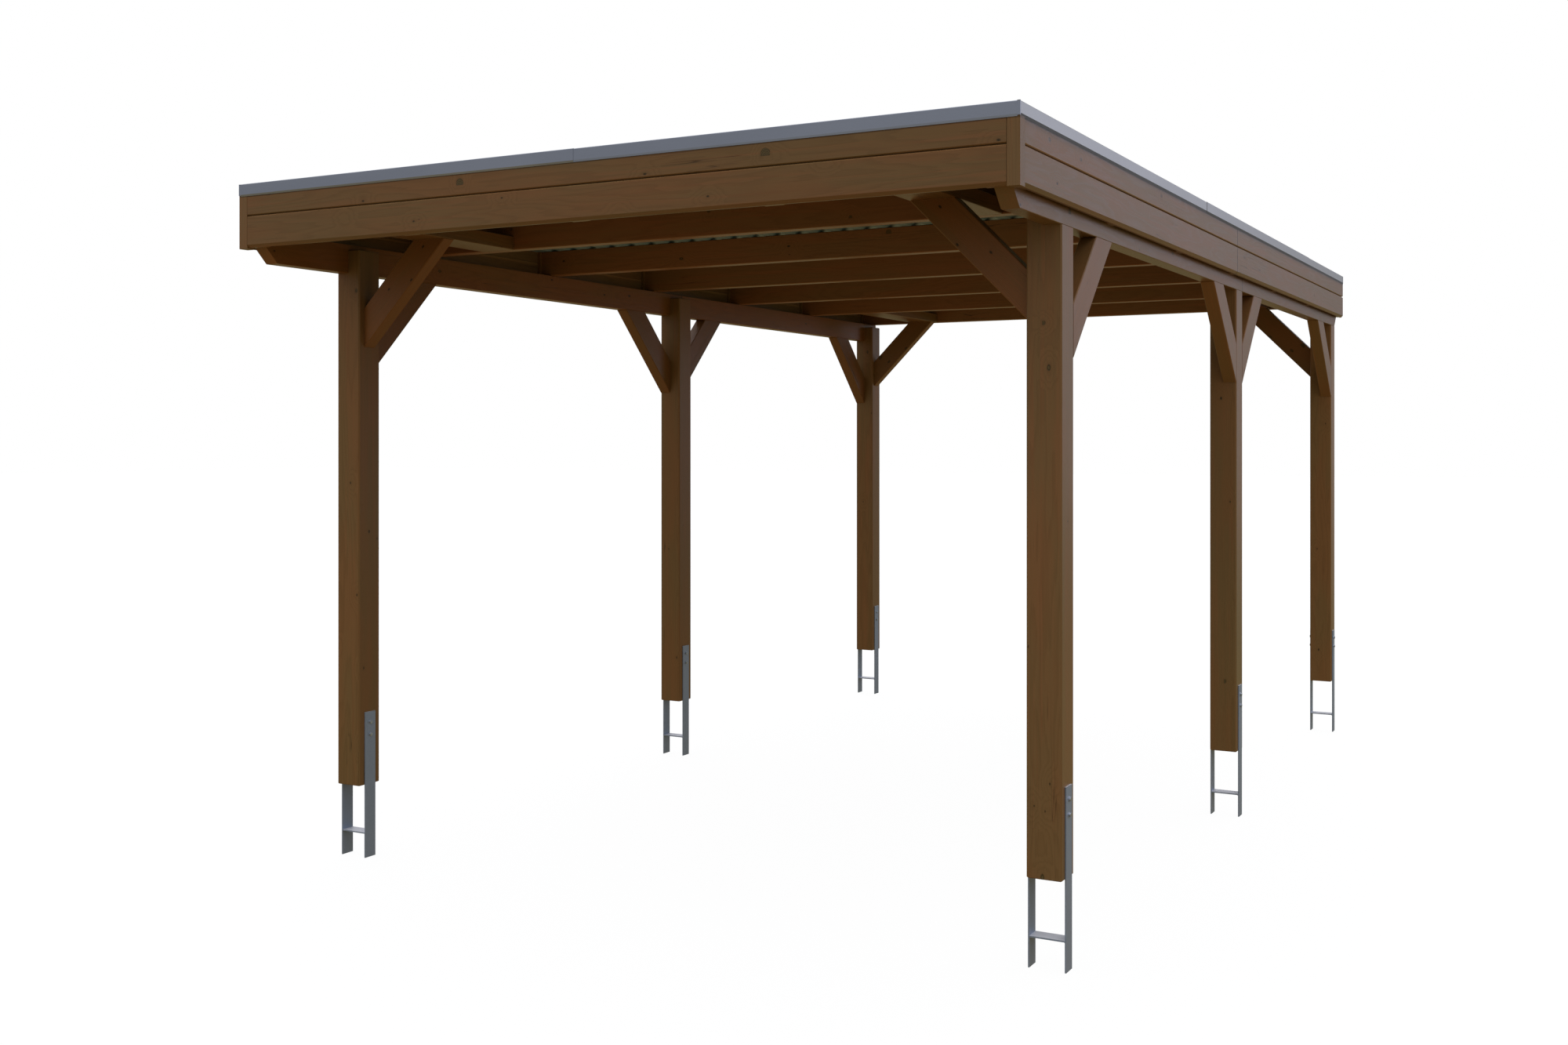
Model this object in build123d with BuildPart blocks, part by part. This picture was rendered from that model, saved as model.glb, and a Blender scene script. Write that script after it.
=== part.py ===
from build123d import *
import os

os.makedirs("parts", exist_ok=True)

# Open timber carport on six posts, with a flat metal roof inside a boarded edge.
# X runs across the carport, Y from the front (drive-in end, -Y) to the back, Z up.
# Z = 0 is the lower end of the ground anchors; X = 0 is the centre line.

# posts
post_size = 120.0
post_spacing_x = 3000.0
post_bottom = 300.0
post_front_y = -2241.0
post_spacing_y = 2455.0
post_chamfer = 5.0
post_end_chamfer = 3.0
tenon_top = 2505.0

# purlins that lie in the notched heads of the posts
purlin_width = 60.0
purlin_height = 118.0
purlin_bottom = 2412.0
purlin_front_end = -2744.0
purlin_front_foot = -2686.0
purlin_rear_end = 2791.0
purlin_rear_foot = 2720.0
scarf_gap = 1.0
timber_arris = 2.0

# rafters across the purlins
rafter_thickness = 60.0
rafter_height = 118.0
rafter_count = 7
rafter_first_y = -2714.0
rafter_last_y = 2759.0
rafter_arris = 3.0

# head braces
brace_thickness = 60.0
side_brace_short = 246.0
side_brace_long = 426.0
cross_brace_short = 260.0
cross_brace_long = 426.0
brace_arris = 3.0

# flat trimmers that the cross braces meet, between the end rafters
trimmer_width = 168.0
trimmer_height = 56.0

# boarded roof edge
roof_half_width = 1598.0
roof_front_y = -2789.0
roof_rear_y = 2791.0
board_thickness = 19.0
board_bottom = 2467.0
board_joint = 2590.0
board_top = 2711.0
board_set_back = 1.0
board_foot_bevel = (9.0, 11.0)
board_tongue = 8.0
board_lap_play = 0.5
board_edge_bevel = 3.0
board_shadow_gap = 4.0
board_end_gap = 1.5
corner_size = 42.0
corner_bottom = 2463.0
corner_arris = 1.5
side_board_seam_y = 12.0
batten_thickness = 24.0
batten_lift = 2.0
side_batten_width = 76.0
front_batten_width = 74.0
front_batten_spacing = 757.0
end_batten_shifts = {0: 10.0, rafter_count - 1: -8.0}

# trapezoidal roof sheets, ribs running from front to back
sheet_pitch = 113.0
sheet_thickness = 1.0
sheet_rib_height = 18.0
sheet_crown = 34.0
sheet_valley = 45.0
sheet_lap_play = 0.2
sheet_edge_gap = 1.0
sheet_front_gap = 3.0

# folded metal trim on the top edge of the boards
trim_thickness = 2.0
trim_face = 44.0
trim_flange = 62.0
trim_top = 2714.0
trim_radius = 3.0
trim_joint_gap = 1.0
front_trim_joint_x = -5.0
side_trim_joint_y = -554.0

# ground anchors: two flat bars and a cross piece under each post
anchor_bar_width = 60.0
anchor_bar_thickness = 5.0
anchor_bar_length = 600.0
anchor_cross_top = 104.0
anchor_arris = 0.6
bolt_diameter = 9.0
bolt_play = 1.0
bolt_heights = (post_bottom + 206.0, post_bottom + 257.0)
bolt_sides = 16
washer_radius = 8.5
washer_thickness = 1.2
bolt_head_radius = 7.5
bolt_head_height = 5.5

post_x = post_spacing_x / 2
outer_x = post_x + post_size / 2
notch_x = outer_x - purlin_width
inner_x = outer_x - post_size
rafter_bottom = purlin_bottom + purlin_height
rafter_top = rafter_bottom + rafter_height
rafter_pitch = (rafter_last_y - rafter_first_y) / (rafter_count - 1)
rafter_ys = [rafter_first_y + i * rafter_pitch for i in range(rafter_count)]
row_ys = {
    "front": post_front_y,
    "middle": post_front_y + post_spacing_y,
    "rear": post_front_y + 2 * post_spacing_y,
}
sides = {"left": -1, "right": 1}
board_inner_x = roof_half_width - board_thickness - board_set_back


# posts
# The outer half of each head is cut away for the purlin, and the inner half
# stands up beside it as a tongue. Two holes take the anchor bolts.
for row, y in row_ys.items():
    for side, s in sides.items():
        head_centre_x = s * (outer_x - purlin_width / 2)
        with BuildPart() as post:
            with BuildSketch(Plane.XY.offset(post_bottom)):
                with Locations((s * post_x, y)):
                    Rectangle(post_size, post_size)
            extrude(amount=tenon_top - post_bottom)
            chamfer(post.edges().filter_by(Axis.Z), post_chamfer)
            chamfer(post.faces().sort_by(Axis.Z)[0].edges(), post_end_chamfer)
            with BuildSketch(Plane.XY.offset(purlin_bottom)):
                with Locations((head_centre_x, y)):
                    Rectangle(purlin_width, post_size)
            extrude(amount=tenon_top, mode=Mode.SUBTRACT)
            chamfer(post.faces().sort_by(Axis.Z)[-1].edges(), post_end_chamfer)
            with BuildSketch(Plane.YZ.offset(s * post_x)):
                with Locations(*[(y, z) for z in bolt_heights]):
                    Circle(bolt_diameter / 2)
            extrude(amount=post_size, both=True, mode=Mode.SUBTRACT)
        post.part.label = f"post_{row}_{side}"
        export_step(post.part, f"parts/post_{row}_{side}.step")


# ground anchors
# Each is an H: two flat bars up the inner and outer faces of the post, joined
# below it by a welded cross piece.
for row, y in row_ys.items():
    for side, s in sides.items():
        bar_x = post_size / 2 + anchor_bar_thickness / 2
        with BuildPart() as anchor:
            with BuildSketch(Plane.XY):
                with Locations((s * post_x - bar_x, y), (s * post_x + bar_x, y)):
                    Rectangle(anchor_bar_thickness, anchor_bar_width)
            extrude(amount=anchor_bar_length)
            with BuildSketch(Plane.XY.offset(anchor_cross_top)):
                with Locations((s * post_x, y)):
                    Rectangle(post_size, anchor_bar_width)
            extrude(amount=-anchor_bar_thickness)
            with BuildSketch(Plane.YZ.offset(s * post_x)):
                with Locations(*[(y, z) for z in bolt_heights]):
                    Circle(bolt_diameter / 2)
            extrude(amount=post_size, both=True, mode=Mode.SUBTRACT)
            upright_edges = anchor.edges().filter_by(Axis.Z)
            long_edges = upright_edges.filter_by(lambda e: e.length > anchor_bar_length / 2)
            chamfer(long_edges, anchor_arris)
        anchor.part.label = f"anchor_{row}_{side}"
        export_step(anchor.part, f"parts/anchor_{row}_{side}.step")


# anchor bolts
# Through bolts along X with a thin washer and the same low hexagon head at both
# ends: the head of the bolt outside, that of its sleeve nut inside.
# Washers and shanks have few sides, so that the twelve bolts stay light.
with BuildPart() as anchor_bolts:
    for y in row_ys.values():
        spots = [(y, z) for z in bolt_heights]
        for s in sides.values():
            outer_face = s * (outer_x + anchor_bar_thickness)
            inner_face = s * (inner_x - anchor_bar_thickness)
            with BuildSketch(Plane.YZ.offset(outer_face)):
                with Locations(*spots):
                    RegularPolygon((bolt_diameter - bolt_play) / 2, bolt_sides)
            extrude(amount=inner_face - outer_face)
            for face_x, way in ((outer_face, s), (inner_face, -s)):
                with BuildSketch(Plane.YZ.offset(face_x)):
                    with Locations(*spots):
                        RegularPolygon(washer_radius, bolt_sides)
                extrude(amount=way * washer_thickness)
                with BuildSketch(Plane.YZ.offset(face_x + way * washer_thickness)):
                    with Locations(*spots):
                        RegularPolygon(bolt_head_radius, 6, rotation=30)
                extrude(amount=way * bolt_head_height)
anchor_bolts.part.label = "anchor_bolts"
export_step(anchor_bolts.part, "parts/anchor_bolts.step")


# purlins
# Each side has a front and a rear length. They meet over the middle post in a
# half lap, with the front length's outer half running to the post's back face.
lap_front = row_ys["middle"] - post_size / 2
lap_rear = row_ys["middle"] + post_size / 2


def is_full_length(edge):
    """True for the long edges of a purlin, not those inside the lap."""
    return edge.length > post_spacing_y / 2


for side, s in sides.items():
    centre_x = s * (outer_x - purlin_width / 2)
    half_face = (purlin_width - scarf_gap) / 2
    outer_lap_x = s * (outer_x - half_face / 2)
    inner_lap_x = s * (notch_x + half_face / 2)
    with BuildPart() as purlin_front:
        with BuildSketch(Plane.YZ.offset(centre_x)):
            with BuildLine():
                Polyline(
                    (purlin_front_foot, purlin_bottom),
                    (lap_front, purlin_bottom),
                    (lap_front, rafter_bottom),
                    (purlin_front_end, rafter_bottom),
                    (purlin_front_end, purlin_bottom + purlin_front_foot - purlin_front_end),
                    close=True,
                )
            make_face()
        extrude(amount=purlin_width / 2, both=True)
        with BuildSketch(Plane.XY.offset(purlin_bottom)):
            with Locations((outer_lap_x, (lap_front + lap_rear) / 2)):
                Rectangle(half_face, lap_rear - lap_front)
        extrude(amount=purlin_height)
        long_edges = purlin_front.edges().filter_by(Axis.Y).filter_by(is_full_length)
        chamfer(long_edges, timber_arris)
    purlin_front.part.label = f"purlin_front_{side}"
    export_step(purlin_front.part, f"parts/purlin_front_{side}.step")

    with BuildPart() as purlin_rear:
        with BuildSketch(Plane.YZ.offset(centre_x)):
            with BuildLine():
                Polyline(
                    (lap_rear + scarf_gap, purlin_bottom),
                    (purlin_rear_foot, purlin_bottom),
                    (purlin_rear_end, purlin_bottom + purlin_rear_end - purlin_rear_foot),
                    (purlin_rear_end, rafter_bottom),
                    (lap_rear + scarf_gap, rafter_bottom),
                    close=True,
                )
            make_face()
        extrude(amount=purlin_width / 2, both=True)
        with BuildSketch(Plane.XY.offset(purlin_bottom)):
            with Locations((inner_lap_x, (lap_front + lap_rear) / 2 + scarf_gap)):
                Rectangle(half_face, lap_rear - lap_front)
        extrude(amount=purlin_height)
        long_edges = purlin_rear.edges().filter_by(Axis.Y).filter_by(is_full_length)
        chamfer(long_edges, timber_arris)
    purlin_rear.part.label = f"purlin_rear_{side}"
    export_step(purlin_rear.part, f"parts/purlin_rear_{side}.step")


# head braces along each side
# One at the front post, one at the rear post and two at the middle post, all
# under the purlin and in its plane. Both ends are cut to bear flat.
brace_feet = [
    (row_ys["front"] + post_size / 2, 1),
    (row_ys["middle"] - post_size / 2, -1),
    (row_ys["middle"] + post_size / 2, 1),
    (row_ys["rear"] - post_size / 2, -1),
]
for side, s in sides.items():
    with BuildPart() as side_braces:
        with BuildSketch(Plane.YZ.offset(s * (outer_x - purlin_width / 2))):
            for foot_y, way in brace_feet:
                with BuildLine():
                    Polyline(
                        (foot_y, purlin_bottom - side_brace_short),
                        (foot_y + way * side_brace_short, purlin_bottom),
                        (foot_y + way * side_brace_long, purlin_bottom),
                        (foot_y, purlin_bottom - side_brace_long),
                        close=True,
                    )
                make_face()
        extrude(amount=brace_thickness / 2, both=True)
        sloping = side_braces.edges().filter_by(
            lambda e: abs(abs(e.tangent_at(0.5).Y) - abs(e.tangent_at(0.5).Z)) < 0.01
        )
        chamfer(sloping, brace_arris)
    side_braces.part.label = f"side_braces_{side}"
    export_step(side_braces.part, f"parts/side_braces_{side}.step")


# trimmers and cross braces at the four corners
trimmer_x = inner_x - (cross_brace_short + cross_brace_long) / 2
trimmer_spans = {
    "front": (rafter_ys[0] + rafter_thickness / 2, rafter_ys[1] - rafter_thickness / 2),
    "rear": (rafter_ys[-2] + rafter_thickness / 2, rafter_ys[-1] - rafter_thickness / 2),
}
for row, (y0, y1) in trimmer_spans.items():
    with BuildPart() as trimmers:
        with BuildSketch(Plane.XY.offset(rafter_bottom)):
            with Locations((-trimmer_x, (y0 + y1) / 2), (trimmer_x, (y0 + y1) / 2)):
                Rectangle(trimmer_width, y1 - y0)
        extrude(amount=trimmer_height)
        chamfer(trimmers.edges().filter_by(Axis.Y), timber_arris)
    trimmers.part.label = f"trimmers_{row}"
    export_step(trimmers.part, f"parts/trimmers_{row}.step")

    with BuildPart() as cross_braces:
        with BuildSketch(Plane.XZ.offset(-row_ys[row])):
            for s in sides.values():
                with BuildLine():
                    Polyline(
                        (s * inner_x, rafter_bottom - cross_brace_short),
                        (s * (inner_x - cross_brace_short), rafter_bottom),
                        (s * (inner_x - cross_brace_long), rafter_bottom),
                        (s * inner_x, rafter_bottom - cross_brace_long),
                        close=True,
                    )
                make_face()
        extrude(amount=brace_thickness / 2, both=True)
        sloping = cross_braces.edges().filter_by(
            lambda e: abs(abs(e.tangent_at(0.5).X) - abs(e.tangent_at(0.5).Z)) < 0.01
        )
        chamfer(sloping, brace_arris)
    cross_braces.part.label = f"cross_braces_{row}"
    export_step(cross_braces.part, f"parts/cross_braces_{row}.step")


# rafters
for i, y in enumerate(rafter_ys):
    with BuildPart() as rafter:
        with BuildSketch(Plane.YZ):
            with Locations((y, (rafter_bottom + rafter_top) / 2)):
                Rectangle(rafter_thickness, rafter_height)
        extrude(amount=outer_x, both=True)
        chamfer(rafter.edges().filter_by(Axis.X), rafter_arris)
    rafter.part.label = f"rafter_{i + 1}"
    export_step(rafter.part, f"parts/rafter_{i + 1}.step")


# boarded edge
# Section of a board pair: the lower board has a bevelled foot and a tongue,
# and the upper board laps over the tongue and leaves a narrow shadow line.
# The first coordinate runs inwards from the outer face of the boards.
bevel_depth, bevel_rise = board_foot_bevel
lower_edge = board_joint - board_shadow_gap / 2
upper_edge = board_joint + board_shadow_gap / 2
tongue_top = upper_edge + board_shadow_gap
tongue_face = board_thickness - board_tongue
lower_section = [
    (bevel_depth, board_bottom),
    (board_thickness, board_bottom),
    (board_thickness, tongue_top),
    (tongue_face, tongue_top),
    (tongue_face, lower_edge),
    (board_edge_bevel, lower_edge),
    (0, lower_edge - board_edge_bevel),
    (0, board_bottom + bevel_rise),
]
upper_section = [
    (0, upper_edge + board_edge_bevel),
    (board_edge_bevel, upper_edge),
    (tongue_face - board_lap_play, upper_edge),
    (tongue_face - board_lap_play, tongue_top + 2 * board_lap_play),
    (board_thickness, tongue_top + 2 * board_lap_play),
    (board_thickness, board_top),
    (0, board_top),
]
front_face_y = roof_front_y + board_set_back
front_board_half = roof_half_width - corner_size - board_set_back
for name, section in {"lower": lower_section, "upper": upper_section}.items():
    with BuildPart() as front_board:
        with BuildSketch(Plane.YZ):
            with BuildLine():
                Polyline(*[(front_face_y + depth, z) for depth, z in section], close=True)
            make_face()
        extrude(amount=front_board_half, both=True)
    front_board.part.label = f"front_board_{name}"
    export_step(front_board.part, f"parts/front_board_{name}.step")

# the side boards come in two lengths, end to end
side_board_start = roof_front_y + corner_size + 2 * board_end_gap
side_runs = [
    (side_board_start, side_board_seam_y - board_end_gap / 2),
    (side_board_seam_y + board_end_gap / 2, roof_rear_y),
]
side_face_x = roof_half_width - board_set_back
for side, s in sides.items():
    for name, section in {"lower": lower_section, "upper": upper_section}.items():
        with BuildPart() as side_board:
            for y0, y1 in side_runs:
                with BuildSketch(Plane.XZ.offset(-y0)):
                    with BuildLine():
                        corners = [(s * (side_face_x - depth), z) for depth, z in section]
                        Polyline(*corners, close=True)
                    make_face()
                extrude(amount=-(y1 - y0))
        side_board.part.label = f"side_board_{name}_{side}"
        export_step(side_board.part, f"parts/side_board_{name}_{side}.step")

corner_depth = corner_size + board_end_gap
with BuildPart() as corner_pieces:
    with BuildSketch(Plane.XY.offset(corner_bottom)):
        corner_x = roof_half_width - corner_size / 2
        corner_y = roof_front_y + corner_depth / 2
        with Locations((-corner_x, corner_y), (corner_x, corner_y)):
            Rectangle(corner_size, corner_depth)
    extrude(amount=board_top - corner_bottom)
    chamfer(corner_pieces.edges().filter_by(Axis.Z), corner_arris)
    chamfer(corner_pieces.faces().group_by(Axis.Z)[0].edges(), corner_arris)
corner_pieces.part.label = "corner_pieces"
export_step(corner_pieces.part, "parts/corner_pieces.step")


# battens that carry the boards
batten_bottom = board_bottom + batten_lift
batten_height = rafter_top - batten_bottom
front_batten_y = rafter_ys[0] - rafter_thickness / 2 - batten_thickness / 2
with BuildPart() as front_battens:
    with BuildSketch(Plane.XY.offset(batten_bottom)):
        for i in range(-2, 3):
            with Locations((i * front_batten_spacing, front_batten_y)):
                Rectangle(front_batten_width, batten_thickness)
    extrude(amount=batten_height)
    chamfer(front_battens.faces().group_by(Axis.Z)[0].edges(), timber_arris)
front_battens.part.label = "front_battens"
export_step(front_battens.part, "parts/front_battens.step")

side_batten_depth = board_inner_x - outer_x
batten_x = outer_x + side_batten_depth / 2
with BuildPart() as side_battens:
    with BuildSketch(Plane.XY.offset(batten_bottom)):
        for i, y in enumerate(rafter_ys):
            batten_y = y + end_batten_shifts.get(i, 0.0)
            with Locations((-batten_x, batten_y), (batten_x, batten_y)):
                Rectangle(side_batten_depth, side_batten_width)
    extrude(amount=batten_height)
    chamfer(side_battens.faces().group_by(Axis.Z)[0].edges(), timber_arris)
side_battens.part.label = "side_battens"
export_step(side_battens.part, "parts/side_battens.step")


# roof sheets
# Three lengths of trapezoidal sheet side by side. Each outer sheet's last rib
# is covered by the middle sheet's edge rib, one thickness higher.
slope = (sheet_pitch - sheet_crown - sheet_valley) / 2
lap_lift = sheet_thickness + sheet_lap_play
sheet_front_y = roof_front_y + board_thickness + sheet_front_gap
sheet_rear_y = roof_rear_y - sheet_edge_gap
edge_pan = board_inner_x - sheet_edge_gap


def rib_line(first, last, lift_first, lift_last):
    """Points along the underside of a sheet, from rib number first to rib last."""
    points = []
    for k in range(first, last + 1):
        x = k * sheet_pitch
        lift = lap_lift if (k == first and lift_first) or (k == last and lift_last) else 0
        low = rafter_top + lift
        high = rafter_top + sheet_rib_height + lift
        points += [
            (x - sheet_crown / 2 - slope, low),
            (x - sheet_crown / 2, high),
            (x + sheet_crown / 2, high),
            (x + sheet_crown / 2 + slope, low),
        ]
    return points


# rib numbers counted from the centre line; the ribs sit between the boards
sheet_runs = {
    "left": (-13, -4, False, False),
    "middle": (-4, 5, True, True),
    "right": (5, 13, False, False),
}
for name, (first, last, lift_first, lift_last) in sheet_runs.items():
    under = rib_line(first, last, lift_first, lift_last)
    if name == "left":
        under = [(-edge_pan, rafter_top)] + under
    if name == "right":
        under = under + [(edge_pan, rafter_top)]
    over = [(x, z + sheet_thickness) for x, z in reversed(under)]
    with BuildPart() as sheet:
        with BuildSketch(Plane.XZ.offset(-sheet_front_y)):
            with BuildLine():
                Polyline(*under, *over, close=True)
            make_face()
        extrude(amount=-(sheet_rear_y - sheet_front_y))
        if name != "middle":
            # the front outer corner is nipped off to clear the corner piece
            with BuildSketch(Plane.XY.offset(rafter_top)):
                with Locations((sides[name] * roof_half_width, roof_front_y)):
                    Rectangle(2 * (corner_size + sheet_edge_gap), 2 * (corner_depth + sheet_edge_gap))
            extrude(amount=2 * sheet_rib_height, mode=Mode.SUBTRACT)
    sheet.part.label = f"roof_sheet_{name}"
    export_step(sheet.part, f"parts/roof_sheet_{name}.step")


# metal trim
# Folded angle: a face over the boards' top edge, a rounded fold, and a flange
# over the boards that points inwards. The front corners are mitred, and each
# side comes in two lengths that meet end to end.
def trim_points(outer, inward):
    """Section of the trim; outer is its outer face, inward is +1 or -1."""
    low = trim_top - trim_face
    return [
        (outer, low),
        (outer, trim_top),
        (outer + inward * trim_flange, trim_top),
        (outer + inward * trim_flange, trim_top - trim_thickness),
        (outer + inward * trim_thickness, trim_top - trim_thickness),
        (outer + inward * trim_thickness, low),
    ]


def round_fold(trim, along, outermost):
    """Round the trim's fold, outside and inside; the edges run along an axis."""
    for level, radius in ((-1, trim_radius), (-2, trim_radius - trim_thickness)):
        level_edges = trim.edges().filter_by(along).group_by(Axis.Z)[level]
        fillet(level_edges.sort_by(outermost)[0], radius)


trim_outer_x = roof_half_width + trim_thickness
trim_front_y = roof_front_y - trim_thickness
miter = trim_flange + 2 * corner_size
with BuildPart() as front_trim:
    with BuildSketch(Plane.YZ):
        with BuildLine():
            Polyline(*trim_points(trim_front_y, 1), close=True)
        make_face()
    extrude(amount=trim_outer_x, both=True)
    round_fold(front_trim, Axis.X, lambda e: e.center().Y)
    with BuildSketch(Plane.XY.offset(trim_top)):
        for s in sides.values():
            with BuildLine():
                Polyline(
                    (s * trim_outer_x, trim_front_y),
                    (s * (trim_outer_x - miter), trim_front_y + miter),
                    (s * trim_outer_x, trim_front_y + miter),
                    close=True,
                )
            make_face()
        with Locations((front_trim_joint_x, trim_front_y + trim_flange / 2)):
            Rectangle(trim_joint_gap, 2 * trim_flange)
    extrude(amount=-trim_face, mode=Mode.SUBTRACT)
front_trim.part.label = "front_trim"
export_step(front_trim.part, "parts/front_trim.step")

for side, s in sides.items():
    with BuildPart() as side_trim:
        with BuildSketch(Plane.XZ.offset(-trim_front_y)):
            with BuildLine():
                Polyline(*trim_points(s * trim_outer_x, -s), close=True)
            make_face()
        extrude(amount=-(roof_rear_y - trim_front_y))
        round_fold(side_trim, Axis.Y, lambda e: -abs(e.center().X))
        with BuildSketch(Plane.XY.offset(trim_top)):
            with BuildLine():
                Polyline(
                    (s * trim_outer_x, trim_front_y),
                    (s * (trim_outer_x - miter), trim_front_y + miter),
                    (s * (trim_outer_x - miter), trim_front_y),
                    close=True,
                )
            make_face()
            with Locations((s * trim_outer_x, side_trim_joint_y)):
                Rectangle(2 * miter, trim_joint_gap)
        extrude(amount=-trim_face, mode=Mode.SUBTRACT)
    side_trim.part.label = f"side_trim_{side}"
    export_step(side_trim.part, f"parts/side_trim_{side}.step")
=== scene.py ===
# Open timber carport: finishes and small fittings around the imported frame.
import math
import random

import bpy
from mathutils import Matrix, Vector


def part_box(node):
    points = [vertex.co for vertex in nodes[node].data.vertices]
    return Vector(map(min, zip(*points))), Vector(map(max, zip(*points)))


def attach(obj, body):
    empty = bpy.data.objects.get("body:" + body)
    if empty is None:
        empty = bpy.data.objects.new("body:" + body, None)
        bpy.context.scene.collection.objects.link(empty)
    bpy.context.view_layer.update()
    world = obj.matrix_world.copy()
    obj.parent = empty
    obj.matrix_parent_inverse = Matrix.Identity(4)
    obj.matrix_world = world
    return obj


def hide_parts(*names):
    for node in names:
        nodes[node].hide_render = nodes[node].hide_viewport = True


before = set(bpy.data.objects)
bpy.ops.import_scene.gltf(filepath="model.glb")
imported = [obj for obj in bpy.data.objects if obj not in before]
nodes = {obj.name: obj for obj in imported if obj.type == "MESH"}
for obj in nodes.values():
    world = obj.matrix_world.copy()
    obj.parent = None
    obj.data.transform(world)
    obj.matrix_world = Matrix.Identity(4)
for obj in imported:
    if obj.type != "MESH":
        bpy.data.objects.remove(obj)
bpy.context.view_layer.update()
print("frame loaded:", len(nodes), "nodes")


# Helpers for shaders
def tone(red, green, blue):  # a colour as it looks on a screen, 0 to 255
    def straight(value):     # undoes the usual curve of screens
        share = value / 255
        return share / 12.92 if share <= 0.04045 else ((share + 0.055) / 1.055) ** 2.4
    return (straight(red), straight(green), straight(blue), 1.0)


class Val:  # one socket, with the usual operators
    def __init__(self, finish, socket):
        self.finish = finish
        self.socket = socket

    def output(self, key):  # another output of the same node
        return Val(self.finish, self.socket.node.outputs[key])

    def math(self, operation, *others):
        values = dict(enumerate((self,) + others))
        return self.finish.node("ShaderNodeMath", {"operation": operation}, values)

    def reflected(self, operation, other):
        values = {0: other, 1: self}
        return self.finish.node("ShaderNodeMath", {"operation": operation}, values)

    def __add__(self, other):
        return self.math("ADD", other)

    def __sub__(self, other):
        return self.math("SUBTRACT", other)

    def __mul__(self, other):
        return self.math("MULTIPLY", other)

    def __truediv__(self, other):
        return self.math("DIVIDE", other)

    def __mod__(self, other):
        return self.math("FLOORED_MODULO", other)

    def __radd__(self, other):
        return self.reflected("ADD", other)

    def __rsub__(self, other):
        return self.reflected("SUBTRACT", other)

    def __rmul__(self, other):
        return self.reflected("MULTIPLY", other)

    def __abs__(self):
        return self.math("ABSOLUTE")

    def least(self, other):
        return self.math("MINIMUM", other)

    def most(self, other):
        return self.math("MAXIMUM", other)

    def floor(self):
        return self.math("FLOOR")

    def above(self, low, high):  # 0 up to low, 1 from high on, smooth in the middle
        values = {"Value": self, "From Min": low, "From Max": high}
        settings = {"interpolation_type": "SMOOTHSTEP"}
        return self.finish.node("ShaderNodeMapRange", settings, values)

    def below(self, low, high):  # 1 up to low, 0 from high on
        return 1 - self.above(low, high)


class Finish:  # a material, or the world's light, under construction
    def __init__(self, name, kind="materials"):
        self.material = getattr(bpy.data, kind).new(name)
        self.material.use_nodes = True
        self.tree = self.material.node_tree
        self.tree.nodes.clear()

    def node(self, kind, settings=None, values=None, out=0):
        made = self.tree.nodes.new(kind)
        for key, setting in (settings or {}).items():
            if key == "stops":
                self.setStops(made.color_ramp, setting)
            else:
                setattr(made, key, setting)
        for key, value in (values or {}).items():
            if isinstance(value, Val):
                self.tree.links.new(value.socket, made.inputs[key])
            else:
                made.inputs[key].default_value = value
        return Val(self, made.outputs[out]) if out is not None else None

    def setStops(self, ramp, stops):
        while len(ramp.elements) > 1:
            ramp.elements.remove(ramp.elements[-1])
        for index, (place, colour) in enumerate(stops):
            stop = ramp.elements[0] if index == 0 else ramp.elements.new(place)
            stop.position = place
            stop.color = colour

    def place(self):  # metres in the part's own frame
        return self.node("ShaderNodeTexCoord", out="Object")

    def split(self, vector):
        parts = self.node("ShaderNodeSeparateXYZ", values={0: vector})
        return [parts.output(index) for index in range(3)]

    def vector(self, x, y, z):
        return self.node("ShaderNodeCombineXYZ", values={0: x, 1: y, 2: z})

    def join(self, operation, first, second, out="Vector"):
        values = {0: first, 1: second}
        return self.node("ShaderNodeVectorMath", {"operation": operation}, values, out)

    def noise(self, vector, scales, detail=2.0, roughness=0.5):
        values = {"Vector": self.join("MULTIPLY", vector, scales), "Scale": 1.0,
                  "Detail": detail, "Roughness": roughness}
        return self.node("ShaderNodeTexNoise", values=values)

    def mix(self, mask, first, second, blend="MIX"):  # sockets 6 and 7 in, 2 out are colours
        settings = {"data_type": "RGBA", "blend_type": blend}
        return self.node("ShaderNodeMix", settings, {0: mask, 6: first, 7: second}, 2)

    def layers(self, colour, layers):  # each a mask and a colour, over the ones before it
        for mask, over in layers:
            colour = self.mix(mask, colour, over)
        return colour

    def shade(self, colour, factor):  # the colour made lighter or darker
        return self.mix(1.0, colour, self.vector(factor, factor, factor), "MULTIPLY")

    def bump(self, height, strength, distance):
        values = {"Height": height, "Strength": strength, "Distance": distance}
        return self.node("ShaderNodeBump", values=values)

    def surface(self, **values):
        named = {key.replace("_", " "): value for key, value in values.items()}
        shader = self.node("ShaderNodeBsdfPrincipled", values=named)
        self.node("ShaderNodeOutputMaterial", values={0: shader}, out=None)
        return self.material


# Camera, at the photograph's place and angle
camera = {
    "spot": (3.2153, -7.2054, 1.7044),
    "turnLeft": 28.546,          # degrees from straight ahead
    "focalPixels": 2028.8,
    "imageWidth": 2000,
    "imageHeight": 1333,
    "horizonRow": 567.04,
    "axisColumn": 1000.3,
    "sensor": 36.0,
}


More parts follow.
